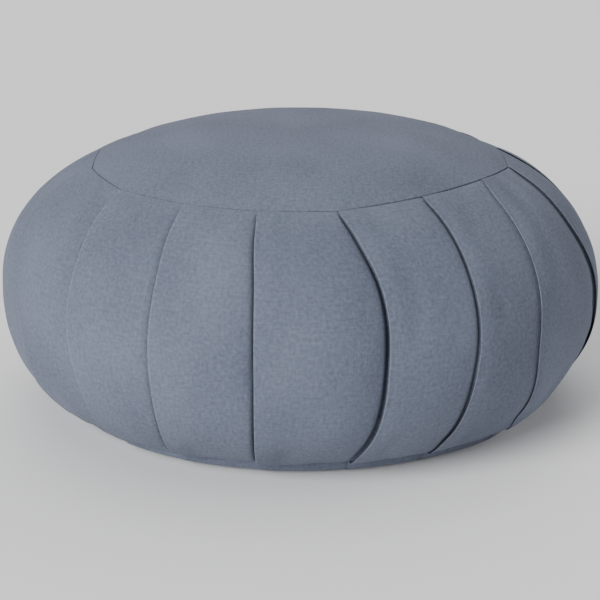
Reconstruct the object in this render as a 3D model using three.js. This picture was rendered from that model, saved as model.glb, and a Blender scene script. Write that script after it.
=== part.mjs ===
// A round floor cushion for sitting meditation: a crowned seat disc and a flat base disc of
// canvas, joined by one long strip that is folded into knife pleats and packed with filling.
// Millimetres, +Z up. The origin is on the floor under the middle of the cushion.

import * as THREE from "three";

// The filled body, from the floor up
const floorContactRadius = 120;
const turnUnderRadius = 131;
const turnUnderHeight = 8;
const bellyRadius = 165;
const bellyHeight = 66.5;
const seamRadius = 113;
const seamHeight = 133.5;
const crownHeight = 151;

// How full the wall stands above and below its widest line: 2 is an ellipse, more is squarer
const upperFullness = 2.25;
const lowerFullness = 2.46;
const crownFlatness = 3;

// The canvas, its seams and its folds
const panelThickness = 2;
const pieceGap = 0.3;
const baseSeamPinch = 1;
const lipThickness = 1.6;
const slitWidth = 0.7;
const tuckAtSeams = 11;

// Filled canvas lies between a round form and flat staves: how much of the way to flat it goes
// on the wall and along the seam, and how much of its swelling the seams take away
const wallFlatness = 0.8;
const seamFlatness = 0.6;
const swellLostAtSeams = 0.75;

// Heights at which the line of each fold is given
const foldHeights = { foot: 8, skirt: 35, middle: 68, shoulder: 105, seam: 133.5 };

// One row for each pleat, counter-clockwise from the left of the front. The first five columns
// are the place of its folded edge in degrees from the front at those heights. tuck is how deep
// the fold still runs in at the belly, swell how far its panel stands past a flat stave, roll how
// far the panel sinks before the next fold, out how far the seam stands out of a true circle, and
// up how far it stands above its usual height, all in millimetres.
const pleatColumns = ["foot", "skirt", "middle", "shoulder", "seam", "tuck", "swell", "roll", "out", "up"];
const pleats = [
  [-62.0, -60.5, -62.0, -71.5, -77.5, 3, 1.8, 1.2, 1.5, 0],
  [-43.5, -41.9, -44.3, -46.5, -52.2, 3, 1.8, 1.2, 2.5, 0],
  [-27.2, -25.8, -26.3, -27.0, -30.2, 3, 1.6, 1.5, 1.0, 0],
  [-8.8, -7.8, -7.5, -8.0, -10.2, 3, 3.6, 3.6, 1.5, 0],
  [10.5, 13.8, 15.2, 14.6, 9.5, 4, 1.6, 2.2, 1.5, 0],
  [28.0, 30.1, 32.3, 33.5, 33.4, 3, 1.4, 1.2, -2.0, 2],
  [46.0, 46.5, 46.8, 50.3, 57.6, 3, 3.4, 2.6, -2.0, 2.5],
  [70.0, 70.5, 73.6, 73.4, 79.0, 4, 2.4, 1.6, 1.5, 0],
  [96.5, 97.8, 99.0, 98.4, 101.8, 3, 2.6, 1.6, 0.5, 0],
  [122.0, 123.5, 125.2, 123.8, 123.6, 3, 2.2, 2.0, -0.5, 0.5],
  [146.0, 147.6, 149.0, 147.6, 146.9, 4, 2.8, 1.4, 1.0, 0],
  [172.4, 173.8, 174.6, 172.6, 169.4, 3, 2.4, 2.4, 0.5, 0],
  [197.0, 198.2, 198.8, 196.0, 191.6, 3, 2.6, 1.6, -0.5, 0.5],
  [222.0, 223.8, 224.4, 220.8, 214.9, 4, 2.2, 1.8, 1.0, 0],
  [247.6, 248.8, 248.6, 243.4, 237.0, 3, 2.6, 1.4, 0.5, 0],
  [272.4, 273.6, 273.4, 266.8, 260.2, 3, 2.4, 1.6, 1.0, 0],
].map((row) => Object.fromEntries(pleatColumns.map((column, k) => [column, row[k]])));

// The section across one panel, from its folded edge to where it slips under the next one.
// along is the share of the way to the next fold, past the share of the fold's depth beyond it,
// sink how far below the outer face the point lies, and sewn its place, as a share of the panel,
// where a seam has pressed the fold flat.
const panelSection = [
  { along: 0, past: 0, sink: lipThickness / 2, sewn: 0 },
  { along: 0.03, past: 0, sink: 0, sewn: 0.06 },
  { along: 0.28, past: 0, sink: 0, sewn: 0.28 },
  { along: 0.54, past: 0, sink: 0, sewn: 0.54 },
  { along: 0.8, past: 0, sink: 0, sewn: 0.78 },
  { along: 1, past: 0, sink: lipThickness + slitWidth, sewn: 0.91 },
  { along: 1, past: 1, sink: lipThickness + slitWidth, sewn: 0.93 },
  { along: 1, past: 1, sink: lipThickness, sewn: 0.95 },
  { along: 1, past: 0.04, sink: lipThickness, sewn: 0.975 },
];

// The facets of the wall, the discs and the crown
const upperSteps = 7;
const lowerSteps = 6;
const discSegments = 96;
const crownRings = [0.92, 0.72, 0.42];

const fullTurn = 360;
const canvas = { color: 0x6f7787, roughness: 0.95, metalness: 0 };
const { clamp, degToRad, lerp, radToDeg, smoothstep } = THREE.MathUtils;

// The strip ends just under the seat disc, which lies over its edge, and just above the floor,
// where the base disc carries the cushion
const bandTop = seamHeight - panelThickness - pieceGap;
const bandFloor = pieceGap;

// A smooth line through values given at rising heights
function smoothAt(heights, values, height) {
  const last = heights.length - 1;
  const level = clamp(height, heights[0], heights[last]);
  let i = 0;
  while (i < last - 1 && level > heights[i + 1]) i += 1;
  const slope = (k) => {
    const a = Math.max(k - 1, 0);
    const b = Math.min(k + 1, last);
    return (values[b] - values[a]) / (heights[b] - heights[a]);
  };
  const step = heights[i + 1] - heights[i];
  const t = (level - heights[i]) / step;
  const rise = values[i + 1] - values[i];
  const start = slope(i) * step;
  const end = slope(i + 1) * step;
  return values[i] + t * (start + t * (3 * rise - 2 * start - end + t * (start + end - 2 * rise)));
}

// The pleat at any whole number, counting on past a full turn
function pleatAt(index) {
  const turns = Math.floor(index / pleats.length);
  return { ...pleats[index - turns * pleats.length], turned: turns * fullTurn };
}

// Where the folded edge of a pleat runs at a height, in degrees from the front
function foldAngle(index, height) {
  const pleat = pleatAt(index);
  const angles = Object.keys(foldHeights).map((name) => pleat[name]);
  return pleat.turned + smoothAt(Object.values(foldHeights), angles, height);
}

// One half of the wall's curve, from the belly to the height and radius where it ends
function halfWall(endRadius, endHeight, fullness, steps) {
  const share = endRadius / bellyRadius;
  const reach = (endHeight - bellyHeight) / (1 - share ** fullness) ** (1 / fullness);
  const endTurn = Math.acos(share ** (fullness / 2));
  return Array.from({ length: steps + 1 }, (_, k) => {
    const turn = (endTurn * k) / steps;
    return {
      radius: bellyRadius * Math.cos(turn) ** (2 / fullness),
      height: bellyHeight + reach * Math.sin(turn) ** (2 / fullness),
    };
  });
}

// The wall's radius and height, from the floor, round the turn under, up to the top seam
function wallStations() {
  const underRoll = [
    { radius: seamRadius + pieceGap, height: bandFloor },
    { radius: floorContactRadius, height: bandFloor },
    { radius: lerp(floorContactRadius, turnUnderRadius, 0.6), height: 0.22 * turnUnderHeight },
    { radius: lerp(floorContactRadius, turnUnderRadius, 0.86), height: 0.56 * turnUnderHeight },
  ];
  const lower = halfWall(turnUnderRadius, turnUnderHeight, lowerFullness, lowerSteps).reverse();
  const upper = halfWall(seamRadius, bandTop, upperFullness, upperSteps).slice(1);
  return [...underRoll, ...lower, ...upper];
}

// How far the crown of the filling rises over the seam, at a share of the seam's radius
function crownRise(share) {
  return (crownHeight - seamHeight) * (1 - share ** crownFlatness);
}

// How far the seam stands out of its circle, and above it, at an angle: nearly straight
// between two folds, as stiff canvas lies
function seamAt(angle) {
  let i = Math.floor(((angle - pleats[0].seam) / fullTurn) * pleats.length) - 1;
  while (foldAngle(i + 1, seamHeight) <= angle) i += 1;
  const start = foldAngle(i, seamHeight);
  const end = foldAngle(i + 1, seamHeight);
  const t = (angle - start) / (end - start);
  const sagitta = seamRadius * (1 - Math.cos(degToRad((end - start) / 2)));
  const here = pleatAt(i);
  const next = pleatAt(i + 1);
  return {
    out: lerp(here.out, next.out, t) - seamFlatness * sagitta * 4 * t * (1 - t),
    up: lerp(here.up, next.up, t),
  };
}

// How near the wall is to the top seam and to the turn under, from 0 at the belly to 1
const towardsSeam = (height) => smoothstep(height, bellyHeight, seamHeight);
const towardsFoot = (height) => 1 - smoothstep(height, turnUnderHeight, bellyHeight);
const towardsEnds = (height) => Math.max(towardsSeam(height), towardsFoot(height));

// How far the outer face of a panel stands out of the round form, a share along from its fold
function panelLift(index, along, height, radius) {
  const pleat = pleatAt(index);
  const half = degToRad((foldAngle(index + 1, height) - foldAngle(index, height)) / 2);
  const arch = 4 * along * (1 - along);
  const sagitta = radius * (1 - Math.cos(half));
  const ease = 1 - swellLostAtSeams * towardsEnds(height);
  return arch * (pleat.swell * ease - wallFlatness * sagitta) - pleat.roll * ease * along ** 4;
}

function polar(radius, angle, height) {
  const turn = degToRad(angle);
  return new THREE.Vector3(radius * Math.sin(turn), -radius * Math.cos(turn), height);
}

// A lathe form whose points are then moved one by one: place(column, ring) says where to
function movedLathe(rings, segments, place) {
  const profile = rings.map((ring) => new THREE.Vector2(ring.radius, ring.height));
  const geometry = new THREE.LatheGeometry(profile, segments);
  geometry.deleteAttribute("normal");
  geometry.deleteAttribute("uv");
  const position = geometry.attributes.position;
  for (let vertex = 0; vertex < position.count; vertex += 1) {
    const column = Math.floor(vertex / profile.length) % segments;
    const point = place(column, vertex % profile.length);
    position.setXYZ(vertex, point.x, point.y, point.z);
  }
  return geometry;
}

// A point of the wall where a seam has pressed the pleats flat
function sewnPoint(ring, index, section, atTop) {
  const height = clamp(ring.height, turnUnderHeight, seamHeight);
  const angle = lerp(foldAngle(index, height), foldAngle(index + 1, height), section.sewn);
  if (!atTop) return polar(ring.radius, angle, ring.height);
  const seam = seamAt(angle);
  const share = ring.radius / seamRadius;
  return polar(ring.radius + seam.out * share, angle, ring.height + seam.up * share);
}

// A point of the wall between the seams, on a panel's outer face or inside the fold that the
// next panel laps over
function foldedPoint(ring, index, section) {
  const height = clamp(ring.height, turnUnderHeight, seamHeight);
  const start = foldAngle(index, height);
  const end = foldAngle(index + 1, height);
  const tuck = lerp(pleatAt(index + 1).tuck, tuckAtSeams, towardsEnds(ring.height));
  const past = radToDeg((section.past * tuck) / ring.radius);
  const angle = lerp(start, end, section.along) + past;
  const nextWidth = foldAngle(index + 2, height) - end;
  const lift = section.along < 1
    ? panelLift(index, section.along, height, ring.radius)
    : panelLift(index + 1, past / nextWidth, height, ring.radius);
  const seam = seamAt(angle);
  const share = towardsSeam(ring.height);
  const radius = ring.radius + lift - section.sink + seam.out * share;
  return polar(radius, angle, ring.height + seam.up * share);
}

// The strip folded round the filling: the wall, closed above and below by the surfaces that the
// two discs lie on
function sideBand() {
  const recess = [0, seamRadius - baseSeamPinch].map((radius) => ({
    radius,
    height: panelThickness + pieceGap,
  }));
  const wall = wallStations();
  const seat = [...crownRings, 0].map((share) => ({
    radius: seamRadius * share,
    height: bandTop + crownRise(share),
  }));
  const rings = [...recess, ...wall, ...seat];
  const floorEdge = recess.length + 1;
  const topEdge = recess.length + wall.length - 1;
  const across = panelSection.length;
  return movedLathe(rings, pleats.length * across, (column, k) => {
    const index = Math.floor(column / across);
    const section = panelSection[column % across];
    const isSewn = k <= floorEdge || k >= topEdge;
    return isSewn
      ? sewnPoint(rings[k], index, section, k >= topEdge)
      : foldedPoint(rings[k], index, section);
  });
}

// The seat: a disc of canvas that follows the crown of the filling
function topPanel() {
  const face = (level) => [1, ...crownRings, 0].map((share) => ({
    share,
    radius: seamRadius * share,
    height: level + crownRise(share),
  }));
  const rings = [...face(seamHeight - panelThickness).reverse(), ...face(seamHeight)];
  return movedLathe(rings, discSegments, (column, k) => {
    const angle = pleats[0].seam + (fullTurn * column) / discSegments;
    const seam = seamAt(angle);
    const { share, radius, height } = rings[k];
    return polar(radius + seam.out * share, angle, height + seam.up * share);
  });
}

// The base: a flat disc of canvas on the floor
function bottomPanel() {
  const rim = seamRadius - baseSeamPinch - pieceGap;
  const profile = [
    new THREE.Vector2(0, 0),
    new THREE.Vector2(rim, 0),
    new THREE.Vector2(rim, panelThickness),
    new THREE.Vector2(0, panelThickness),
  ];
  return new THREE.LatheGeometry(profile, discSegments).rotateX(Math.PI / 2);
}

function piece(name, geometry) {
  const mesh = new THREE.Mesh(geometry, new THREE.MeshStandardMaterial(canvas));
  mesh.name = name;
  return mesh;
}

const cushion = new THREE.Group();
cushion.add(piece("side_band", sideBand()));
cushion.add(piece("top_panel", topPanel()));
cushion.add(piece("bottom_panel", bottomPanel()));

export default cushion;
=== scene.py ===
# %% [markdown]
# # A pleated zafu, folded, sewn and filled
# A zafu is a round, firm cushion for sitting. A maker cuts two discs and one long strip of
# canvas, folds the strip into knife pleats, sews it round both discs and pours in the filling.
# This lesson makes it in that order. The measured model is loaded first, because every piece
# made here has to stand where that model says.

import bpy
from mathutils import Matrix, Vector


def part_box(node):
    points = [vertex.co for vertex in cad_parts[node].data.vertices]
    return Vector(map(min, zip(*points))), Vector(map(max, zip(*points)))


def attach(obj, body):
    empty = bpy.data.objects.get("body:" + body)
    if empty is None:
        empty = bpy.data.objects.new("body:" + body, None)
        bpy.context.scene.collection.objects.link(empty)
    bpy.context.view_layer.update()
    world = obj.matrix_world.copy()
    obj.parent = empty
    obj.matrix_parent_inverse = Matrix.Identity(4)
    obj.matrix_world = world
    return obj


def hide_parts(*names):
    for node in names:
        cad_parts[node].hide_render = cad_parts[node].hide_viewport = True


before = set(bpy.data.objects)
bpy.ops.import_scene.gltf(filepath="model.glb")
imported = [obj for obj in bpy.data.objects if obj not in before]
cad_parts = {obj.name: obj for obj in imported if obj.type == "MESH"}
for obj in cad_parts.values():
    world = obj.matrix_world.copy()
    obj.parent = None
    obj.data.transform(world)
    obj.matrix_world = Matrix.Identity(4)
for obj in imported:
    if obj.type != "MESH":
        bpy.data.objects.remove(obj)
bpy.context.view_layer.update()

# %% Libraries and units
import math

import bmesh
import bpy
import numpy as np
from mathutils import Vector, noise

MM = 0.001

# %% [markdown]
# ## Camera, floor and light
# The camera comes first, so that every later piece can be judged in the same view. It stands
# about a metre away and looks down a little, through a long lens, as a product picture is
# taken. A long lens keeps the near pleats from swelling.

# %% Camera
CAMERA_DISTANCE = 990 * MM
CAMERA_ELEVATION = math.radians(17.93)
LOOK_AT = Vector((0, 0, 51.6 * MM))
LENS = 105.3
NEAREST_SEEN = 50 * MM


def add_camera():
    data = bpy.data.cameras.new("camera")
    data.lens = LENS
    data.clip_start = NEAREST_SEEN
    camera = bpy.data.objects.new("camera", data)
    back = Vector((0, -math.cos(CAMERA_ELEVATION), math.sin(CAMERA_ELEVATION)))
    camera.location = LOOK_AT + back * CAMERA_DISTANCE
    camera.rotation_euler = back.to_track_quat("Z", "Y").to_euler()
    bpy.context.scene.collection.objects.link(camera)
    bpy.context.scene.camera = camera
    return camera


camera = add_camera()
print("camera at", tuple(round(value, 3) for value in camera.location))

# %% Floor and light
FLOOR_SIZE = 40.0
FLOOR_COLOUR = (0.85, 0.85, 0.85, 1)
FLOOR_ROUGHNESS = 0.9
FLOOR_GLOW = 0.08
WHITE = (1, 1, 1, 1)


def add_floor():
    """A white studio floor. Its own faint glow stands for the light a white cove throws back."""
    shape = bmesh.new()
    bmesh.ops.create_grid(shape, x_segments=1, y_segments=1, size=FLOOR_SIZE / 2)
    mesh = bpy.data.meshes.new("floor")
    shape.to_mesh(mesh)
    shape.free()
    material = bpy.data.materials.new("pale_floor")
    material.use_nodes = True
    shader = material.node_tree.nodes["Principled BSDF"]
    shader.inputs["Base Color"].default_value = FLOOR_COLOUR
    shader.inputs["Roughness"].default_value = FLOOR_ROUGHNESS
    shader.inputs["Emission Color"].default_value = WHITE
    shader.inputs["Emission Strength"].default_value = FLOOR_GLOW
    floor = bpy.data.objects.new("floor", mesh)
    floor.data.materials.append(material)
    bpy.context.scene.collection.objects.link(floor)
    return floor


add_floor()
print("floor", FLOOR_SIZE, "m across")

# %% Light
SKY_BRIGHTNESS = 0.06
SUN_COLUMNS = "name toward strength softness".split()
SUNS = [
    ("key", (-0.61, -0.65, 0.46), 4.0, 35),
    ("top", (0, -0.03, 1.0), 0.7, 60),
    ("back", (0, 0.64, 0.77), 0.9, 50),
    ("rim", (0.93, 0.25, 0.3), 0.8, 50),
]


def add_sun(name, toward, strength, softness):
    """A soft light that falls evenly everywhere. toward is the way from the cushion to it, and
    softness is how wide it looks, in degrees."""
    data = bpy.data.lights.new(name, "SUN")
    data.energy = strength
    data.angle = math.radians(softness)
    sun = bpy.data.objects.new(name, data)
    sun.rotation_euler = Vector(toward).to_track_quat("Z", "Y").to_euler()
    bpy.context.scene.collection.objects.link(sun)
    return sun


def add_sky(brightness):
    world = bpy.data.worlds.new("studio")
    world.use_nodes = True
    background = world.node_tree.nodes["Background"]
    background.inputs["Color"].default_value = WHITE
    background.inputs["Strength"].default_value = brightness
    bpy.context.scene.world = world
    return world


add_sky(SKY_BRIGHTNESS)
for row in SUNS:
    add_sun(**dict(zip(SUN_COLUMNS, row)))
print(len(SUNS), "soft suns and an even sky")

# %% [markdown]
# ## The shape of a filled cushion
# Seen from the side, the filled wall is a squared-off ellipse above its widest line and
# another below it. Under a crease close to the floor it turns in to the flat base. The seat
# rises in a low crown inside the top seam. It could be sculpted by eye, but formulas keep the
# strip, the seat and the base in agreement wherever they meet.

# %% Sizes of the filled body
FLOOR_RADIUS = 120 * MM
TURN_UNDER_RADIUS = 131 * MM
TURN_UNDER_HEIGHT = 6.5 * MM
BELLY_RADIUS = 164.6 * MM
BELLY_HEIGHT = 66.5 * MM
SEAM_RADIUS = 113 * MM
SEAM_HEIGHT = 133.5 * MM
CROWN_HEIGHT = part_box("top_panel")[1].z
UPPER_FULLNESS = 2.25
LOWER_FULLNESS = 2.7
CROWN_FLATNESS = 3.3
print("crown at", round(CROWN_HEIGHT, 4), "m")

# %% [markdown]
# ## Sixteen pleats, each its own
# No two pleats of a hand-folded strip are alike: one runs straight, the next leans, one gapes
# and another almost closes. Random changes would give sixteen of a kind, so each pleat has a
# row of its own in a table, as a maker would note them down.

# %% Pleats
# One row for each pleat, counter-clockwise from the left of the front. The first six columns
# are its folded edge in degrees from the front at six heights. tuck is how deep the fold runs
# in at the belly, swell how far its panel stands past a flat stave, out and up how far the
# seam stands out of its circle. lip is how thick the folded edge looks, slot how wide the
# valley before it is, and gap_top, gap_mid and gap_low how deep. roll is how far the panel
# before it sinks towards it, calm how far above the crease the fold dies away, and rumple how
# deep the soft wrinkles of its panel are. All but the angles are in millimetres.
PLEAT_COLUMNS = (
    "foot skirt middle shoulder collar seam tuck swell out up"
    " lip slot gap_top gap_mid gap_low roll calm rumple"
).split()
PLEAT_ROWS = [
    (-62.0, -60.5, -62.0, -71.5, -76.2, -77.5, 3, 2.4, 1.5, 0.0, 0.9, 1.3, 0.3, 0.5, 0.2, 0.8, 40, 2.0),
    (-43.5, -41.9, -44.3, -46.5, -50.6, -52.2, 3, 2.2, 2.5, 0.0, 1.1, 2.2, 1.0, 1.5, 0.8, 4.6, 30, 1.2),
    (-27.2, -25.8, -26.3, -27.0, -29.2, -30.2, 3, 1.8, 1.0, 0.0, 0.8, 1.6, 1.6, 1.9, 2.0, 1.4, 12, 0.3),
    (-8.8, -7.8, -7.5, -8.0, -9.6, -10.2, 3, 3.4, 1.5, 0.0, 0.8, 1.25, 2.0, 3.4, 2.6, 2.6, 9, 0.3),
    (10.5, 13.8, 15.2, 15.0, 11.7, 9.5, 4, 1.6, 1.5, 0.0, 0.75, 0.95, 1.7, 4.8, 1.4, 3.4, 24, 0.3),
    (28.0, 30.1, 32.3, 33.5, 34.0, 33.4, 3, 1.4, -2.0, 2.0, 0.7, 0.95, 1.2, 2.2, 1.1, 1.2, 28, 0.3),
    (48.5, 47.4, 46.8, 50.3, 54.2, 57.6, 3, 2.6, -2.0, 2.5, 0.8, 0.8, 0.1, 0.1, 0.1, 0.8, 100, 2.6),
    (76.0, 78.8, 75.5, 72.6, 77.2, 79.0, 3, 2.4, 1.5, 0.0, 0.7, 0.8, 0.5, 0.9, 0.3, 1.4, 80, 0.6),
    (96.5, 97.8, 99.0, 98.4, 100.6, 101.8, 3, 2.6, 0.5, 0.0, 0.7, 0.9, 0.2, 0.5, 0.2, 0.8, 16, 0.8),
    (122.0, 123.5, 125.2, 123.8, 123.7, 123.6, 3, 2.2, -0.5, 0.5, 1.3, 1.0, 0.8, 2.2, 1.8, 2.0, 12, 0.3),
    (146.0, 147.6, 149.0, 147.6, 147.1, 146.9, 4, 2.8, 1.0, 0.0, 1.2, 1.1, 0.5, 1.2, 1.0, 1.4, 20, 0.4),
    (172.4, 173.8, 174.6, 172.6, 170.5, 169.4, 3, 2.4, 0.5, 0.0, 1.4, 1.0, 0.8, 2.4, 2.0, 2.4, 10, 0.3),
    (197.0, 198.2, 198.8, 196.0, 193.1, 191.6, 3, 2.6, -0.5, 0.5, 1.2, 1.1, 0.5, 1.4, 1.4, 1.6, 14, 0.3),
    (222.0, 223.8, 224.4, 220.8, 217.0, 214.9, 4, 2.2, 1.0, 0.0, 1.3, 1.0, 0.8, 2.0, 1.6, 1.8, 10, 0.4),
    (247.6, 248.8, 248.6, 243.4, 239.2, 237.0, 3, 2.6, 0.5, 0.0, 1.1, 1.1, 0.4, 1.0, 0.9, 1.4, 24, 0.4),
    (272.4, 273.6, 273.4, 266.8, 262.5, 260.2, 3, 2.4, 1.0, 0.0, 1.2, 1.0, 0.6, 1.6, 1.4, 1.6, 16, 1.2),
]
PLEATS = [dict(zip(PLEAT_COLUMNS, row)) for row in PLEAT_ROWS]
FOLD_HEIGHTS = [8 * MM, 35 * MM, 68 * MM, 105 * MM, 127 * MM, 133.5 * MM]
FOLD_NAMES = PLEAT_COLUMNS[:6]
FULL_TURN = 360.0
print(len(PLEATS), "pleats")


# %% Curves that the pleats and the wall share
def smooth_at(places, values, place):
    """A smooth line through values given at rising places."""
    last = len(places) - 1
    place = min(max(place, places[0]), places[last])
    i = 0
    while i < last - 1 and place > places[i + 1]:
        i += 1

    def slope(k):
        a, b = max(k - 1, 0), min(k + 1, last)
        return (values[b] - values[a]) / (places[b] - places[a])

    step = places[i + 1] - places[i]
    t = (place - places[i]) / step
    rise = values[i + 1] - values[i]
    start, end = slope(i) * step, slope(i + 1) * step
    return values[i] + t * (start + t * (3 * rise - 2 * start - end + t * (start + end - 2 * rise)))


def smoothstep(value, low, high):
    t = np.clip((value - low) / (high - low), 0, 1)
    return t * t * (3 - 2 * t)


def rising(value, low, high):
    """0 up to low, 1 from high on, and a soft ramp between."""
    return float(smoothstep(value, low, high))


def falling(value, low, high):
    """1 up to low, 0 from high on, and a soft ramp between."""
    return 1 - rising(value, low, high)


def pleat_at(index):
    return PLEATS[index % len(PLEATS)]


def fold_angle(index, height):
    """Where the folded edge of a pleat runs at a height, in degrees, counting on past a turn."""
    angles = [pleat_at(index)[name] for name in FOLD_NAMES]
    return FULL_TURN * (index // len(PLEATS)) + smooth_at(FOLD_HEIGHTS, angles, height)


def gap_depth(index, height):
    """How deep the valley before a folded edge is at a height."""
    pleat = pleat_at(index)
    places = [TURN_UNDER_HEIGHT, BELLY_HEIGHT, SEAM_HEIGHT]
    return MM * smooth_at(places, [pleat["gap_low"], pleat["gap_mid"], pleat["gap_top"]], height)


def towards_seam(height):
    return rising(height, BELLY_HEIGHT, SEAM_HEIGHT)


def towards_foot(height):
    return falling(height, TURN_UNDER_HEIGHT, BELLY_HEIGHT)


print("smooth, half way from 0 to 1:", rising(0.5, 0, 1))

# %% The top seam's straight steps
SEAM_FLATNESS = 0.6


def seam_shift(angle):
    """How far the top seam stands out of its circle, and above it, at an angle in degrees.
    Stiff canvas runs nearly straight from one fold to the next."""
    count = len(PLEATS)
    i = math.floor((angle - PLEATS[0]["seam"]) / FULL_TURN * count) - 1
    while fold_angle(i + 1, SEAM_HEIGHT) <= angle:
        i += 1
    start, end = fold_angle(i, SEAM_HEIGHT), fold_angle(i + 1, SEAM_HEIGHT)
    t = (angle - start) / (end - start)
    here, after = pleat_at(i), pleat_at(i + 1)
    sagitta = SEAM_RADIUS * (1 - math.cos(math.radians(end - start) / 2))
    out, up = [MM * (here[name] * (1 - t) + after[name] * t) for name in ("out", "up")]
    return out - SEAM_FLATNESS * sagitta * 4 * t * (1 - t), up


print("seam shift at the front:", [round(value, 5) for value in seam_shift(0)])

# %% [markdown]
# ## The wall as a path
# The strip of canvas follows one path from the base seam to the top seam: out over the turn
# under, up over the belly and in to the seat. The path is measured along the cloth, so the
# rows of the strip can be spaced evenly on the cloth and closer at its creases.

# %% The wall's path
CURL_RADIUS = 0.4 * MM
SEAM_ALLOWANCE = 3.0 * MM
CURL_END = math.radians(262)
CURL_STEPS = 12
TURN_UNDER_STEPS = 60
BASE_SEAM_INSET = 1 * MM


def half_wall(end_radius, end_height, fullness, count=400):
    """Radius and height from the belly to an end of the wall."""
    share = end_radius / BELLY_RADIUS
    reach = (end_height - BELLY_HEIGHT) / (1 - share**fullness) ** (1 / fullness)
    turn = np.linspace(0, math.acos(share ** (fullness / 2)), count)
    radius = BELLY_RADIUS * np.cos(turn) ** (2 / fullness)
    return radius, BELLY_HEIGHT + reach * np.sin(turn) ** (2 / fullness)


def wall_path():
    """Radius and height along the strip, from inside the base seam to inside the top seam."""
    inner = FLOOR_RADIUS - BASE_SEAM_INSET
    turn = np.linspace(0, math.pi / 2, TURN_UNDER_STEPS)[:-1]
    lower = half_wall(TURN_UNDER_RADIUS, TURN_UNDER_HEIGHT, LOWER_FULLNESS)
    upper = half_wall(SEAM_RADIUS, SEAM_HEIGHT, UPPER_FULLNESS)
    radius = [
        [inner, inner],
        FLOOR_RADIUS + (TURN_UNDER_RADIUS - FLOOR_RADIUS) * np.sin(turn),
        lower[0][::-1],
        upper[0][1:],
    ]
    height = [
        [SEAM_ALLOWANCE, BASE_SEAM_INSET],
        TURN_UNDER_HEIGHT * (1 - np.cos(turn)),
        lower[1][::-1],
        upper[1][1:],
    ]
    # The cloth curls over the seam and goes straight down inside it
    last = np.array([upper[0][-1], upper[1][-1]])
    step = last - [upper[0][-2], upper[1][-2]]
    heading = np.linspace(math.atan2(step[1], step[0]), CURL_END, CURL_STEPS)
    side = heading - math.pi / 2
    curl = CURL_RADIUS * np.array([np.cos(side), np.sin(side)])
    curl = last[:, None] + curl - curl[:, :1]
    end = curl[:, -1] + SEAM_ALLOWANCE * np.array([math.cos(CURL_END), math.sin(CURL_END)])
    radius += [curl[0, 1:], end[:1]]
    height += [curl[1, 1:], end[1:]]
    radius, height = np.concatenate(radius), np.concatenate(height)
    length = np.concatenate([[0], np.cumsum(np.hypot(np.diff(radius), np.diff(height)))])
    return radius, height, length


PATH_RADIUS, PATH_HEIGHT, PATH_LENGTH = wall_path()
CLOTH_HEIGHT = PATH_LENGTH[-1]


def path_at(place):
    """Radius and height of places along the cloth, and the two parts of the way out of it."""
    reach = 0.25 * MM
    ends = [np.clip(place + step, 0, CLOTH_HEIGHT) for step in (-reach, reach)]
    radius = [np.interp(end, PATH_LENGTH, PATH_RADIUS) for end in ends]
    height = [np.interp(end, PATH_LENGTH, PATH_HEIGHT) for end in ends]
    out, up = height[1] - height[0], radius[0] - radius[1]
    size = np.hypot(out, up)
    here = (np.interp(place, PATH_LENGTH, PATH_RADIUS), np.interp(place, PATH_LENGTH, PATH_HEIGHT))
    return *here, out / size, up / size


def place_at_height(height, beyond):
    """The place along the cloth where the path first reaches a height, beyond a place."""
    return PATH_LENGTH[np.flatnonzero((PATH_LENGTH >= beyond) & (PATH_HEIGHT >= height))[0]]


CREASE_PLACE = place_at_height(TURN_UNDER_HEIGHT, 8 * MM)
SEAM_PLACE = place_at_height(SEAM_HEIGHT - 0.01 * MM, 20 * MM)
print("strip", round(CLOTH_HEIGHT, 4), "m high, its crease at", round(CREASE_PLACE, 4),
      "and its seam at", round(SEAM_PLACE, 4))

# %% Rows of the strip
WALL_ROW_COUNT = 32
FLOOR_ROW_COUNT = 4
ALLOWANCE_ROWS = MM * np.array([0, 1.9])
NEAR_CREASE = MM * np.array([-4.0, -2.4, -1.2, -0.3, 0.6, 1.8, 3.4, 5.6])
NEAR_SEAM = MM * np.array([-6.2, -4.0, -2.4, -1.2, -0.4, 0.35, 1.0, 1.8])
ROW_PLACES = np.concatenate([
    ALLOWANCE_ROWS,
    np.linspace(3.2 * MM, CREASE_PLACE - 6 * MM, FLOOR_ROW_COUNT),
    CREASE_PLACE + NEAR_CREASE,
    np.linspace(CREASE_PLACE + 9 * MM, SEAM_PLACE - 9 * MM, WALL_ROW_COUNT),
    SEAM_PLACE + NEAR_SEAM,
    [CLOTH_HEIGHT],
])
ROW_COUNT = len(ROW_PLACES)
TURNED_IN = [0, 1, ROW_COUNT - 2, ROW_COUNT - 1]
ROW_RADIUS, ROW_HEIGHT, _, _ = path_at(ROW_PLACES)
print(ROW_COUNT, "rows, the widest", round(float(np.diff(ROW_PLACES).max()) / MM, 2), "mm apart")

# %% [markdown]
# ## The section of a knife pleat
# Cut across the wall and look at one pleat. Its folded edge is a rounded nose of doubled
# canvas. From there the outer face runs to the next fold, dips into a valley and slips under
# that fold's nose. Inside it turns back on itself and comes out again as the next nose. At
# the belly only a few millimetres are folded away, at the seams more than a centimetre.

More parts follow.
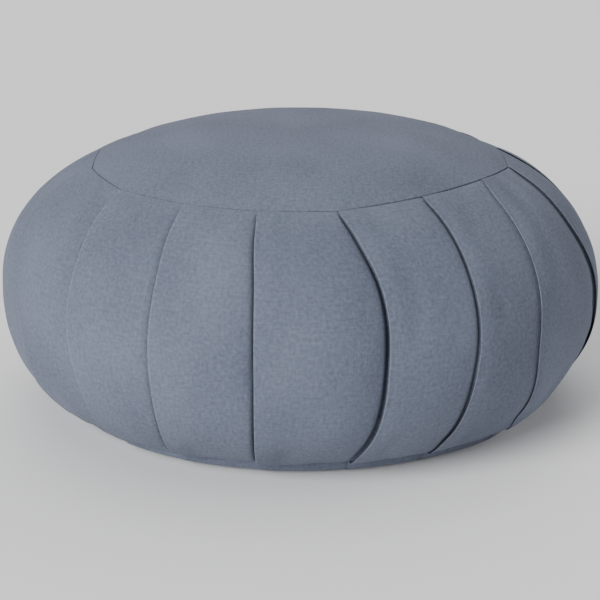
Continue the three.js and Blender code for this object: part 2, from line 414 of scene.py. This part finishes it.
# %% Sizes of a pleat's section
# SLIT is how far the two layers of a fold stand apart. The outer face has columns at the
# distances AFTER_FOLD from its own folded edge and BEFORE_NEXT from the next one, and evenly
# between. UNDER_SHARES place the columns of the layer folded in, which sinks a little so that
# it never shows. The nose hangs over its valley by WIDEST_OVERHUNG less the valley's width.
# Past the tuck the lip fades away over FADE_WIDTH, in millimetres, and sooner at the seams.
TUCK_AT_SEAMS = 11 * MM
SLIT = 0.35 * MM
NOSE_TURNS = np.radians([-55, 0, 55])
AFTER_FOLD = MM * np.array([0, 1.1, 2.6, 5.0])
BEFORE_NEXT = MM * np.array([5.0, 2.8, 1.5, 0.75, 0.2])
FACE_MIDDLE_STEPS = 8
UNDER_SHARES = np.array([0.18, 0.52, 0.86])
FOLDED_IN_SINK = 0.9 * MM
THINNEST_NOSE = 0.14 * MM
FADE_WIDTH = 15
FADE_LOST_AT_SEAMS = 12
VALLEY_SHARPNESS = 1.8
ROLL_WIDTH = 18 * MM
ROLL_SHARPNESS = 1.6
WIDEST_OVERHUNG = 1.7 * MM
FULL_OVERHANG_GAP = 1.2 * MM
BEAD_WIDTH = 1.3 * MM
BEAD_SHARE = 0.3
FACE_STEPS = len(AFTER_FOLD) + FACE_MIDDLE_STEPS + len(BEFORE_NEXT)
COLUMNS_PER_PLEAT = len(NOSE_TURNS) + FACE_STEPS + 2 * len(UNDER_SHARES) + 1
COLUMN_COUNT = len(PLEATS) * COLUMNS_PER_PLEAT
print(COLUMNS_PER_PLEAT, "columns a pleat,", COLUMN_COUNT, "in all")

# %% How a fold is squeezed at the seams and the crease
SEWN_REACH = 12 * MM
SEWN_GAP_REACH = 5 * MM
LIP_LEFT_AT_SEAM = 0.5
GAP_CLOSED_AT_SEAM = 0.8
LIP_LEFT_AT_CREASE = 0.1
GAP_CLOSED_AT_CREASE = 0.9
SLIT_CLOSED_AT_CREASE = 0.7
ROLL_LOST_AT_SEAMS = 0.6
SWELL_LOST_AT_SEAMS = 0.75
WALL_FLATNESS = 0.85
FOOT_ROUNDNESS = 0.5


def squeezed_at(index, place, height):
    """Lip, slit and gap of a pleat's fold at a place along the cloth, in metres. All three
    shrink where the stitches of the top seam or the crease above the floor pull the fold flat."""
    pleat = pleat_at(index)
    sewn = rising(place, SEAM_PLACE - SEWN_REACH, SEAM_PLACE)
    creased = falling(place, CREASE_PLACE + 1 * MM, CREASE_PLACE + pleat["calm"] * MM)
    squeeze = MM * (1 - (1 - LIP_LEFT_AT_SEAM) * sewn) * (1 - (1 - LIP_LEFT_AT_CREASE) * creased)
    slit = SLIT * (1 - SLIT_CLOSED_AT_CREASE * creased)
    lip = max(pleat["lip"] * squeeze, slit + THINNEST_NOSE)
    open_end = 1 - GAP_CLOSED_AT_SEAM * rising(place, SEAM_PLACE - SEWN_GAP_REACH, SEAM_PLACE)
    gap = gap_depth(index, height) * (1 - GAP_CLOSED_AT_CREASE * creased) * open_end
    return lip, slit, gap


print("the fold right of the middle, at the belly:",
      [round(value / MM, 2) for value in squeezed_at(4, CREASE_PLACE + 75 * MM, BELLY_HEIGHT)], "mm")

# %% How a filled panel stands off the wall
# The rumples are noise, read a step of PANEL_STRIDE further on for each panel, so that no two
# panels have the same ones. They are as long as RUMPLE_LENGTH and weaker low on the wall.
RUMPLES_ACROSS = 4.5
RUMPLE_LENGTH = 45 * MM
PANEL_STRIDE = 7.3
RUMPLES_LOW_DOWN = 0.4
RUMPLES_GROW_FROM = 50 * MM
RUMPLES_FULL_FROM = 20 * MM
RUMPLES_RISE = 5


def panel_form(radius, degrees_wide, swell, flatness, t):
    """How far a filled panel stands off the round wall, t of the way across it."""
    sagitta = radius * (1 - math.cos(math.radians(degrees_wide) / 2))
    return 4 * t * (1 - t) * (swell - flatness * sagitta)


def rumples(index, t, place, depth):
    """Soft wrinkles of a panel. They run up the cloth, close together, and gather at the seam."""
    up = place / RUMPLE_LENGTH
    spots = [Vector((RUMPLES_ACROSS * share, up, PANEL_STRIDE * index)) for share in t]
    waves = np.array([noise.noise(spot) for spot in spots])
    upper = rising(place, CREASE_PLACE + RUMPLES_GROW_FROM, SEAM_PLACE - RUMPLES_FULL_FROM)
    upper = RUMPLES_LOW_DOWN + (1 - RUMPLES_LOW_DOWN) * upper
    return depth * waves * np.minimum(1, RUMPLES_RISE * t * (1 - t)) * upper


print("a panel of 20 degrees at the belly stands",
      round(panel_form(BELLY_RADIUS, 20, 3 * MM, WALL_FLATNESS, 0.5) / MM, 2), "mm off the wall")


# %% Section of one pleat
def pleat_section(index, row):
    """Angles in degrees, and heights off the round wall, of one pleat's columns in a row."""
    place, radius = ROW_PLACES[row], ROW_RADIUS[row]
    height = min(max(ROW_HEIGHT[row], TURN_UNDER_HEIGHT), SEAM_HEIGHT)
    here, after = pleat_at(index), pleat_at(index + 1)
    start, end, last = [fold_angle(index + k, height) for k in range(3)]
    per_metre = math.degrees(1 / radius)
    ends = max(towards_seam(height), towards_foot(height))
    sewn = rising(place, SEAM_PLACE - SEWN_REACH, SEAM_PLACE)
    lip, slit, gap_here = squeezed_at(index, place, height)
    _, next_slit, gap = squeezed_at(index + 1, place, height)
    tuck, next_tuck = [MM * p["tuck"] * (1 - ends) + TUCK_AT_SEAMS * ends for p in (here, after)]
    swell, next_swell = [
        MM * p["swell"] * (1 - SWELL_LOST_AT_SEAMS * ends) * (1 - sewn) for p in (here, after)
    ]
    flatness = WALL_FLATNESS * (1 - towards_seam(height))
    flatness *= 1 - FOOT_ROUNDNESS * towards_foot(height)
    roll = MM * after["roll"] * (1 - ROLL_LOST_AT_SEAMS * ends) * (1 - sewn)

    # The nose of doubled canvas, which hangs over the valley before it
    overhang = max(0.0, WIDEST_OVERHUNG - MM * here["slot"])
    overhang *= min(1.0, gap_here / FULL_OVERHANG_GAP)
    nose_radius = (lip - slit) / 2
    nose_angle = start + per_metre * (nose_radius * (1 - np.cos(NOSE_TURNS)) - overhang)
    nose_height = slit + nose_radius * (1 + np.sin(NOSE_TURNS))

    # The outer face, from the nose down into the valley before the next one
    width = (end - start) / per_metre
    steps = np.arange(1, FACE_MIDDLE_STEPS + 1) / (FACE_MIDDLE_STEPS + 1)
    middle = AFTER_FOLD[-1] + (width - AFTER_FOLD[-1] - BEFORE_NEXT[0]) * steps
    across = np.concatenate([AFTER_FOLD, middle, width - BEFORE_NEXT])
    t = across / width
    from_fold, to_next = across + (nose_radius - overhang) * (1 - t), width - across
    bead = 1 - BEAD_SHARE * (1 - np.exp(-((across / BEAD_WIDTH) ** 2)))
    fade_start, fade_end = (tuck - 1 * MM) * ends, tuck + (FADE_WIDTH - FADE_LOST_AT_SEAMS * ends) * MM
    lifted = lip * bead * (1 - smoothstep(across, fade_start, fade_end))
    valley = gap * np.exp(-((to_next / (MM * after["slot"])) ** VALLEY_SHARPNESS))
    rolled = roll * np.exp(-((to_next / ROLL_WIDTH) ** ROLL_SHARPNESS))
    face_height = panel_form(radius, end - start, swell, flatness, t) + lifted - valley - rolled
    face_height = face_height + rumples(index, t, place, MM * here["rumple"] * (1 - sewn))

    # The layer folded in under the next panel, there and back
    past = UNDER_SHARES * next_tuck
    form = panel_form(radius, last - end, next_swell, flatness, past * per_metre / (last - end))
    sink = FOLDED_IN_SINK * UNDER_SHARES**2
    under_height = form - sink - (gap + roll) * (1 - UNDER_SHARES) ** 2
    inside = np.concatenate([past, [next_tuck + SLIT], past[::-1]])
    turned = form[-1] - FOLDED_IN_SINK + next_slit / 2
    inside_height = np.concatenate([under_height, [turned], (form - sink)[::-1] + next_slit])
    angles = [nose_angle, start + per_metre * from_fold, end + per_metre * inside]
    return np.concatenate(angles), np.concatenate([nose_height, face_height, inside_height])


test_angles, test_heights = pleat_section(3, ROW_COUNT // 2)
print("one pleat spans", round(float(np.ptp(test_angles)), 1), "degrees and stands",
      round(float(np.ptp(test_heights)) / MM, 2), "mm")

# %% [markdown]
# ## The crease above the floor
# All round its foot the cushion has a crease where the weight of the filling folds the wall
# over. It isn't level: where the filling sits lower the crease climbs and the foot stands out.
# A short table says where, with one row for each direction, and the places between are smooth.

# %% The crease above the floor
CREASE_REACH = 20 * MM
CREASE_RISES_FROM = 6 * MM
ON_FLOOR_REACH = 9 * MM
BASE_INSET = 0.8 * MM
HEIGHTS_LOST_ON_FLOOR = 0.85
FOOT_START = 3 * MM
FOOT_END = 24 * MM
CREASE_COLUMNS = "angle rise width depth stand".split()
CREASE_ROWS = [
    (-180, 0, 2.2, 2.0, 0),
    (-90, 0.4, 2.2, 1.8, 0),
    (-60, 1.6, 1.8, 2.2, 1.8),
    (-35, 2.4, 1.4, 3.2, 1.4),
    (0, 2.4, 1.3, 3.6, 1.0),
    (28, 3.0, 1.4, 3.6, 2.2),
    (48, 5.2, 2.6, 3.0, 4.6),
    (66, 9, 3.6, 2.4, 2.8),
    (95, 3, 3.0, 2.0, 0.5),
    (130, 0, 2.2, 2.0, 1.0),
    (180, 0, 2.2, 2.0, 0),
]
CREASE = [dict(zip(CREASE_COLUMNS, row)) for row in CREASE_ROWS]


def crease_at(angle):
    """Rise up the cloth, width and depth of the crease at an angle in degrees, and how far the
    foot stands out there, all in metres."""
    angle = (angle + 180) % FULL_TURN - 180
    places = [point["angle"] for point in CREASE]
    columns = [[point[name] for point in CREASE] for name in CREASE_COLUMNS[1:]]
    return [MM * smooth_at(places, values, angle) for values in columns]


print("crease at the right of the front:", [round(value / MM, 2) for value in crease_at(60)], "mm")

# %% [markdown]
# ## Fold the strip
# The strip starts as a flat grid of quads, as the canvas lies on the cutting table. Every
# point remembers its place on that flat cloth in a UV map, so the weave later follows the
# folds. Then each point goes to its place on the folded wall, and the strip's two ends are
# welded into a ring.


# %% Place every point of the folded strip
def place_row(row):
    """Where every column of a row goes, as an array of points."""
    sections = [pleat_section(index, row) for index in range(len(PLEATS))]
    angles = np.concatenate([angle for angle, _ in sections])
    heights = np.concatenate([height for _, height in sections])
    if row in TURNED_IN:
        level = TURN_UNDER_HEIGHT if row < ROW_COUNT / 2 else SEAM_HEIGHT
        folds = [fold_angle(index, level) for index in range(len(PLEATS) + 1)]
        shares = np.linspace(0, 1, COLUMNS_PER_PLEAT, endpoint=False)
        angles = np.concatenate([a + (b - a) * shares for a, b in zip(folds, folds[1:])])
        heights = np.zeros(COLUMN_COUNT)
    place = ROW_PLACES[row]
    near_crease = math.exp(-(((place - CREASE_PLACE) / CREASE_REACH) ** 2))
    near_crease *= rising(place, CREASE_RISES_FROM, CREASE_PLACE)
    rises, widths, depths, stands = np.array([crease_at(angle) for angle in angles]).T
    radius, level, out, up = path_at(place + rises * near_crease)
    on_floor = falling(place, CREASE_PLACE - ON_FLOOR_REACH, CREASE_PLACE)
    crease = depths * np.exp(-(((place - CREASE_PLACE) / widths) ** 2))
    if row not in TURNED_IN:
        crease = crease + BASE_INSET * falling(place, CREASE_PLACE - 2 * MM, CREASE_PLACE + 1 * MM)
    off = heights * (1 - HEIGHTS_LOST_ON_FLOOR * on_floor) - crease
    share = towards_seam(ROW_HEIGHT[row]) * (place > CREASE_PLACE)
    shifts = np.array([seam_shift(angle) for angle in angles]) * share
    foot = falling(place, CREASE_PLACE + FOOT_START, CREASE_PLACE + FOOT_END)
    radius = radius + out * off + shifts[:, 0] + stands * foot * (row not in TURNED_IN)
    level = np.maximum(level + up * off + shifts[:, 1], 0)
    turn = np.radians(angles)
    return np.stack([radius * np.sin(turn), -radius * np.cos(turn), level], 1)


ROWS = [place_row(row) for row in range(ROW_COUNT)]
print("placed", len(ROWS), "rows of", COLUMN_COUNT, "points")

# %% The strip's flat places
NOSE_END = len(NOSE_TURNS)
FACE_MIDDLE = NOSE_END + FACE_STEPS // 2
STRIP_LENGTH = 1.13


def flat_places(points):
    """How far along the flat strip each point of a row lies. The thread in the middle of every
    face runs straight up the strip, and the rest is measured from it."""
    steps = np.linalg.norm(np.roll(points, -1, axis=0) - points, axis=1)
    walked = np.concatenate([[0], np.cumsum(steps)])
    columns = np.arange(COLUMN_COUNT + 1)
    middles = np.arange(-1, len(PLEATS) + 1) * COLUMNS_PER_PLEAT + FACE_MIDDLE
    pitch = STRIP_LENGTH / len(PLEATS)
    flat = np.zeros(COLUMN_COUNT + 1)
    for number, middle in enumerate(middles):
        low, high = middle - FACE_MIDDLE, middle - FACE_MIDDLE + NOSE_END + FACE_STEPS
        here = columns[(columns >= low) & (columns < high)]
        if len(here) and 0 <= middle <= COLUMN_COUNT:
            flat[here] = number * pitch + walked[here] - walked[middle]
    inside = columns % COLUMNS_PER_PLEAT >= NOSE_END + FACE_STEPS
    flat[-1] = flat[0] + STRIP_LENGTH
    flat[inside] = np.interp(columns[inside], columns[~inside], flat[~inside])
    return flat


FLAT = [flat_places(points) for points in ROWS]
middle_row = ROWS[ROW_COUNT // 2]
around = float(np.linalg.norm(np.roll(middle_row, -1, axis=0) - middle_row, axis=1).sum())
print("cloth round the belly, folds and all:", round(around, 3), "m")

# %% What is held, and what is worn and painted with a highlight
HELD_ABOVE_CREASE = 3 * MM
HELD_BELOW_SEAM = 1.5 * MM
# Where folded edges are painted paler, partly as wear and partly as a painted highlight.
WORN_AND_HIGHLIT_ABOVE_CREASE = 4 * MM
WORN_AND_HIGHLIT_BESIDE_NOSE = 0.6


def hold(column, row):
    """How firmly a point stays while the canvas settles: folds and seams do, faces don't."""
    from_fold, to_next = column - NOSE_END, NOSE_END + FACE_STEPS - 1 - column
    lowest, highest = CREASE_PLACE + HELD_ABOVE_CREASE, SEAM_PLACE - HELD_BELOW_SEAM
    in_wall = lowest < ROW_PLACES[row] < highest
    if not in_wall or from_fold < 2 or to_next < 3:
        return 1.0
    return 0.5 if from_fold == 2 or to_next == 3 else 0.0


def wear_and_highlight(column, row):
    """How pale a point is painted: folded edges rub pale first, and the same paleness paints the highlight
    where light catches them.
    """
    if not CREASE_PLACE + WORN_AND_HIGHLIT_ABOVE_CREASE < ROW_PLACES[row] < SEAM_PLACE:
        return 0.0
    if column == NOSE_END:
        return WORN_AND_HIGHLIT_BESIDE_NOSE
    return 1.0 if 1 <= column < NOSE_END else 0.0


middle = ROW_COUNT // 2
print("a fold is held", hold(NOSE_END, middle), "and worn", wear_and_highlight(NOSE_END, middle))

# %% Fold and weld
WELD_REACH = 0.001 * MM


def fold_strip():
    """The grid, with its flat places in a UV map and its points on the folded wall."""
    shape = bmesh.new()
    cloth = shape.loops.layers.uv.new("cloth")
    held = shape.verts.layers.float.new("held")
    # This layer marks folded edges painted paler, partly as wear and partly as a painted highlight.
    worn_and_highlit = shape.verts.layers.float.new("worn_and_highlit")
    bmesh.ops.create_grid(shape, x_segments=COLUMN_COUNT, y_segments=ROW_COUNT - 1, size=1)
    spots = {}
    for point in shape.verts:
        column = round((point.co.x + 1) / 2 * COLUMN_COUNT)
        row = round((point.co.y + 1) / 2 * (ROW_COUNT - 1))
        spots[point] = (column, row)
    for face in shape.faces:
        for corner in face.loops:
            column, row = spots[corner.vert]
            corner[cloth].uv = (FLAT[row][column], ROW_PLACES[row])
    for point, (column, row) in spots.items():
        point.co = ROWS[row][column % COLUMN_COUNT]
        point[held] = hold(column % COLUMNS_PER_PLEAT, row)
        point[worn_and_highlit] = wear_and_highlight(column % COLUMNS_PER_PLEAT, row)
    ends = [point for point, (column, row) in spots.items() if column in (0, COLUMN_COUNT)]
    bmesh.ops.remove_doubles(shape, verts=ends, dist=WELD_REACH)
    return shape


band_shape = fold_strip()
print("strip folded:", len(band_shape.verts), "points,", len(band_shape.faces), "faces")

# %% Close the filled body
CLOSING_SHARE = 0.6


def close_end(shape, high):
    """Closes one end of the wall, out of sight under a disc: a ring inwards, then a flat fill.
    A point shared by hundreds of faces would make the smoothing very slow, so there is none."""
    rims = [edge for edge in shape.edges if edge.is_boundary]
    edges = [edge for edge in rims if (edge.verts[0].co.z > BELLY_HEIGHT) == high]
    held = shape.verts.layers.float["held"]
    made = bmesh.ops.extrude_edge_only(shape, edges=edges)["geom"]
    rim = [item for item in made if isinstance(item, bmesh.types.BMEdge)]
    crown = SEAM_HEIGHT + (CROWN_HEIGHT - SEAM_HEIGHT) * (1 - CLOSING_SHARE**CROWN_FLATNESS)
    level = crown - SEAM_ALLOWANCE if high else SEAM_ALLOWANCE
    for point in [item for item in made if isinstance(item, bmesh.types.BMVert)]:
        scale = CLOSING_SHARE * SEAM_RADIUS / math.hypot(point.co.x, point.co.y)
        point.co = (point.co.x * scale, point.co.y * scale, level)
        point[held] = 1.0
    bmesh.ops.triangle_fill(shape, use_beauty=True, use_dissolve=False, edges=rim)


close_end(band_shape, high=True)
close_end(band_shape, high=False)
bmesh.ops.recalc_face_normals(band_shape, faces=band_shape.faces)
closed = all(edge.is_manifold for edge in band_shape.edges)
print("closed:", closed, round(band_shape.calc_volume(signed=True) * 1000, 2), "litres")


# %% Hand the shape to an object
def add_piece(name, shape):
    mesh = bpy.data.meshes.new(name)
    shape.to_mesh(mesh)
    shape.free()
    mesh.shade_smooth()
    piece = bpy.data.objects.new(name, mesh)
    bpy.context.scene.collection.objects.link(piece)
    return piece


band = add_piece("pleated_band", band_shape)
print(band.name, len(band.data.polygons), "faces")

# %% [markdown]
# ## Let the filling push
# The strip now has its folds but its faces are still plain curves. Blender's Cloth simulation
# pushes them outward from inside, as the filling does, while the folds and the seams hold
# them. The cloth is given a little spare length, so it settles in slack places of its own.
# The result is written back to the mesh, with a limit on how far any point may move.
# A voxel remesh often comes first on cushions. Here the strip is an even grid already, and a
# remesh would lose its flat places and melt the narrow valleys beside the folds shut.

# %% Settle the canvas
SETTLE_FRAMES = 20
CANVAS_FEEL = {
    "quality": 6,
    "mass": 0.3,
    "tension_stiffness": 40,
    "compression_stiffness": 15,
    "shear_stiffness": 10,
    "bending_stiffness": 1.5,
}


def points_of(mesh):
    """Where a mesh's points are, as an array with a row for each."""
    flat = np.empty(len(mesh.vertices) * 3)
    mesh.vertices.foreach_get("co", flat)
    return flat.reshape(-1, 3)


def settle(piece, pressure, spare, limit):
    """Runs the cloth and keeps its result. spare is the spare length as a share."""
    mesh = piece.data
    start = points_of(mesh)
    weights = np.empty(len(start))
    mesh.attributes["held"].data.foreach_get("value", weights)
    group = piece.vertex_groups.new(name="held_points")
    for weight in np.unique(weights):
        group.add(np.flatnonzero(weights == weight).tolist(), float(weight), "REPLACE")
    cloth = piece.modifiers.new("canvas", "CLOTH")
    settings = cloth.settings
    for name, value in CANVAS_FEEL.items():
        setattr(settings, name, value)
    settings.use_pressure = True
    settings.uniform_pressure_force = pressure
    settings.vertex_group_mass = group.name
    settings.shrink_min = -spare
    settings.effector_weights.gravity = 0
    cloth.collision_settings.use_collision = False
    cloth.point_cache.frame_end = SETTLE_FRAMES
    for number in range(1, SETTLE_FRAMES + 1):
        bpy.context.scene.frame_set(number)
    settled = piece.evaluated_get(bpy.context.evaluated_depsgraph_get()).data
    moved = points_of(settled) - start
    piece.modifiers.remove(cloth)
    piece.vertex_groups.clear()
    far = np.linalg.norm(moved, axis=1, keepdims=True)
    kept = limit * np.tanh(far / limit) / np.maximum(far, 1e-9)
    mesh.vertices.foreach_set("co", (start + moved * kept).ravel())
    mesh.update()
    bpy.context.scene.frame_set(1)
    print(piece.name, "moved up to", round(float(far.max()) / MM, 2), "mm, typically",
          round(float(np.median(far[weights == 0])) / MM, 2), "mm")


settle(band, pressure=4, spare=0.006, limit=4 * MM)

# %% [markdown]
# ## The seat and the base
# The seat is a disc of the same canvas, stretched over the filling in a low crown. At its
# edge it curls down into the seam against the band. It could be a flattened ball, but a
# profile turned round the middle gives the curl its true size. Then the edge follows the seam,
# which runs in short straight steps from pleat to pleat. The base is a disc of the same canvas
# that the floor presses flat. It is out of sight inside the turn under.

# %% Seat disc
DISC_STEPS = 240
CANVAS_THICKNESS = 0.8 * MM
GROOVE_RADIUS = float(PATH_RADIUS[-2])
SEAT_RADIUS = GROOVE_RADIUS - 0.18 * MM
SEAT_CURL = 0.5 * MM
SEAT_CURL_TURNS = np.radians([25, 50, 75, 100])
SEAT_SHARES = [
    0, 0.06, 0.14, 0.24, 0.34, 0.44, 0.54, 0.63, 0.71, 0.78,
    0.84, 0.885, 0.92, 0.945, 0.965, 0.98, 0.992, 1,
]
SEAM_PULL_FROM = 0.45 * SEAM_RADIUS
TUCKED_IN = 0.3 * MM
TUCKED_DOWN = 1.6 * MM


def spun_disc(profile):
    """A closed disc turned from a profile of (radius, height) that starts in the middle."""
    shape = bmesh.new()
    points = [shape.verts.new((radius, 0, height)) for radius, height in profile]
    edges = [shape.edges.new(pair) for pair in zip(points, points[1:])]
    bmesh.ops.spin(
        shape, geom=points + edges, cent=(0, 0, 0), axis=(0, 0, 1), angle=2 * math.pi,
        steps=DISC_STEPS, use_merge=True,
    )
    bmesh.ops.remove_doubles(shape, verts=shape.verts, dist=WELD_REACH)
    bmesh.ops.recalc_face_normals(shape, faces=shape.faces)
    return shape


def lay_flat(shape):
    """Gives a disc's points their places on the flat cloth, before any of them moves."""
    cloth = shape.loops.layers.uv.new("cloth")
    for face in shape.faces:
        for corner in face.loops:
            corner[cloth].uv = corner.vert.co.xy


def turn_faces(shape, upwards):
    """Turns a disc's faces to the side that shows."""
    if (sum(face.normal.z for face in shape.faces) > 0) != upwards:
        bmesh.ops.reverse_faces(shape, faces=shape.faces)


def seat_profile():
    flat_end = SEAT_RADIUS - SEAT_CURL
    radius = np.array(SEAT_SHARES) * flat_end
    crown = 1 - (radius / SEAM_RADIUS) ** CROWN_FLATNESS
    height = SEAM_HEIGHT + (CROWN_HEIGHT - SEAM_HEIGHT) * crown
    curl = flat_end + SEAT_CURL * np.sin(SEAT_CURL_TURNS)
    drop = height[-1] - SEAT_CURL * (1 - np.cos(SEAT_CURL_TURNS))
    radius = np.concatenate([radius, curl, [SEAT_RADIUS - TUCKED_IN]])
    height = np.concatenate([height, drop, [drop[-1] - TUCKED_DOWN]])
    return list(zip(radius, height))


def follow_seam(shape):
    """Moves a disc's edge to the seam's straight steps."""
    for point in shape.verts:
        reach = math.hypot(point.co.x, point.co.y)
        if reach > 1 * MM:
            angle = math.degrees(math.atan2(point.co.x, -point.co.y))
            share = float(smoothstep(reach, SEAM_PULL_FROM, SEAT_RADIUS))
            out, up = seam_shift(angle)
            scale = 1 + share * out / reach
            point.co = (point.co.x * scale, point.co.y * scale, point.co.z + share * up)


seat_shape = spun_disc(seat_profile())
lay_flat(seat_shape)
follow_seam(seat_shape)
turn_faces(seat_shape, upwards=True)
seat = add_piece("seat_disc", seat_shape)
print(seat.name, len(seat.data.polygons), "faces, radius", round(SEAT_RADIUS, 4))

# %% Base disc
BASE_RADIUS = FLOOR_RADIUS - 1.3 * MM
BASE_CURL = 1 * MM
BASE_CURL_TURNS = np.radians([30, 60, 90])
BASE_EDGE_HEIGHT = 2 * MM
BASE_SHARES = [0, 0.3, 0.6, 0.85]


def base_profile():
    flat_end = BASE_RADIUS - BASE_CURL
    radius = [share * BASE_RADIUS for share in BASE_SHARES] + [flat_end]
    height = [0] * len(radius)
    radius += list(flat_end + BASE_CURL * np.sin(BASE_CURL_TURNS)) + [BASE_RADIUS]
    height += list(BASE_CURL * (1 - np.cos(BASE_CURL_TURNS))) + [BASE_EDGE_HEIGHT]
    return list(zip(radius, height))


base_shape = spun_disc(base_profile())
lay_flat(base_shape)
turn_faces(base_shape, upwards=False)
base = add_piece("base_disc", base_shape)
print(base.name, len(base.data.polygons), "faces, radius", round(BASE_RADIUS, 4))


# %% Thickness and smoothing
def add_modifier(piece, kind, **settings):
    modifier = piece.modifiers.new(kind.lower(), kind)
    for name, value in settings.items():
        setattr(modifier, name, value)
    return modifier


for disc in (seat, base):
    add_modifier(disc, "SOLIDIFY", thickness=CANVAS_THICKNESS, offset=-1)
add_modifier(band, "SUBSURF", levels=1, render_levels=1)
print("canvas discs", CANVAS_THICKNESS / MM, "mm thick")

# %% [markdown]
# ## Canvas
# The cloth is a plain-woven cotton canvas in a heathered slate blue. Its yarns are uneven, so
# thicker and thinner stretches of warp and weft give a fine mottle of lighter and darker
# threads. A picture of cloth would repeat and slide, so it is noise stretched along each yarn,
# drawn on the flat cloth's own UV map, and the threads follow every fold. Folded edges are
# painted paler, partly as wear and partly as a painted highlight where the light catches them.
# The yarns also raise a very low bump, and a sheen stands for the cotton's fuzz.


# %% Shader helpers
class Wire:
    """A node socket that can be used in ordinary sums."""

    def __init__(self, graph, socket):
        self.graph = graph
        self.socket = socket

    def maths(self, operation, *values):
        return self.graph.node("ShaderNodeMath", {"operation": operation}, list(values))

    def __add__(self, other):
        return self.maths("ADD", self, other)

    def __sub__(self, other):
        return self.maths("SUBTRACT", self, other)

    def __rsub__(self, other):
        return self.maths("SUBTRACT", other, self)

    def __mul__(self, other):
        return self.maths("MULTIPLY", self, other)

    __radd__ = __add__
    __rmul__ = __mul__


class Graph:
    """A material's nodes. node() makes any of them, its settings before its sockets."""

    def __init__(self, name):
        self.material = bpy.data.materials.new(name)
        self.material.use_nodes = True
        self.tree = self.material.node_tree
        self.shader = self.tree.nodes["Principled BSDF"]

    def feed(self, socket, value):
        if isinstance(value, Wire):
            self.tree.links.new(value.socket, socket)
        else:
            socket.default_value = value

    def node(self, kind, settings=None, values=None, output=0):
        node = self.tree.nodes.new(kind)
        for name, value in (settings or {}).items():
            setattr(node, name, value)
        pairs = values.items() if isinstance(values, dict) else enumerate(values or [])
        for name, value in pairs:
            self.feed(node.inputs[name], value)
        return Wire(self, node.outputs[output])

    def mix(self, factor, low, high):
        """A colour between two colours, or between a colour and another node's."""
        settings = {"data_type": "RGBA", "clamp_factor": True}
        return self.node("ShaderNodeMix", settings, {0: factor, 6: low, 7: high}, output=2)

    def speckle(self, vector, along, across, detail=2.0):
        """Noise from 0 to 1 with spots of a size along and across the cloth, in metres."""
        settings = {"operation": "MULTIPLY"}
        spots = self.node("ShaderNodeVectorMath", settings, [vector, (1 / along, 1 / across, 1.0)])
        settings = {"noise_dimensions": "2D"}
        return self.node("ShaderNodeTexNoise", settings, {"Vector": spots, "Scale": 1.0, "Detail": detail})


print("shader helpers ready")

# %% Canvas material
DARK_YARN = (0.09, 0.104, 0.145, 1)
LIGHT_YARN = (0.174, 0.2, 0.268, 1)
# Paler yarn on the folded edges: partly wear, partly a painted highlight.
WORN_AND_HIGHLIT_YARN = (0.26, 0.29, 0.35, 1)
YARN_WIDTH = 0.5 * MM
YARN_STRETCH = 9 * MM
MOTTLE_SIZE = 1.8 * MM
CLOUD_SIZE = (45 * MM, 60 * MM)
YARN_CONTRAST = 0.5
MOTTLE_CONTRAST = 0.9
CLOUD_CONTRAST = 0.6
WORN_AND_HIGHLIT_CONTRAST = 0.8
YARN_RELIEF = 0.15 * MM
MOTTLE_RELIEF = 0.8
BUMP_STRENGTH = 0.5
CANVAS_SURFACE = {
    "Roughness": 0.95,
    "Specular IOR Level": 0.2,
    "Sheen Weight": 0.05,
    "Sheen Roughness": 0.5,
}


def canvas(name):
    graph = Graph(name)
    cloth = graph.node("ShaderNodeUVMap", {"uv_map": "cloth"})
    warp = graph.speckle(cloth, YARN_WIDTH, YARN_STRETCH)
    weft = graph.speckle(cloth, YARN_STRETCH, YARN_WIDTH)
    mottle = graph.speckle(cloth, MOTTLE_SIZE, MOTTLE_SIZE)
    cloud = graph.speckle(cloth, *CLOUD_SIZE, detail=1.0)
    yarns = (warp - 0.5) * YARN_CONTRAST + (weft - 0.5) * YARN_CONTRAST
    yarns = yarns + (mottle - 0.5) * MOTTLE_CONTRAST + (cloud - 0.5) * CLOUD_CONTRAST
    colour = graph.mix(yarns + 0.5, DARK_YARN, LIGHT_YARN)
    # Folded edges painted paler, partly as wear and partly as a painted highlight.
    worn_and_highlit = graph.node("ShaderNodeAttribute", {"attribute_name": "worn_and_highlit"}, output="Fac")
    colour = graph.mix(worn_and_highlit * mottle * WORN_AND_HIGHLIT_CONTRAST, colour, WORN_AND_HIGHLIT_YARN)
    relief = warp + weft + mottle * MOTTLE_RELIEF
    sockets = {"Strength": BUMP_STRENGTH, "Distance": YARN_RELIEF, "Height": relief}
    bump = graph.node("ShaderNodeBump", None, sockets)
    for socket, value in {**CANVAS_SURFACE, "Base Color": colour, "Normal": bump}.items():
        graph.feed(graph.shader.inputs[socket], value)
    return graph.material


for piece, name in ((band, "band_canvas"), (seat, "seat_canvas"), (base, "base_canvas")):
    piece.data.materials.append(canvas(name))
print("canvas on three pieces")

# %% [markdown]
# ## Hang each piece on its body
# Every piece is attached to the root body, which carries it, and the measured part it stands
# for is hidden.

# %% Attach the pieces and hide the measured parts
PARTS = (
    (band, "side_band", "canvas_band"),
    (seat, "top_panel", "canvas_seat"),
    (base, "bottom_panel", "canvas_base"),
)
for piece, part, slot in PARTS:
    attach(piece, "root")
    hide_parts(part)
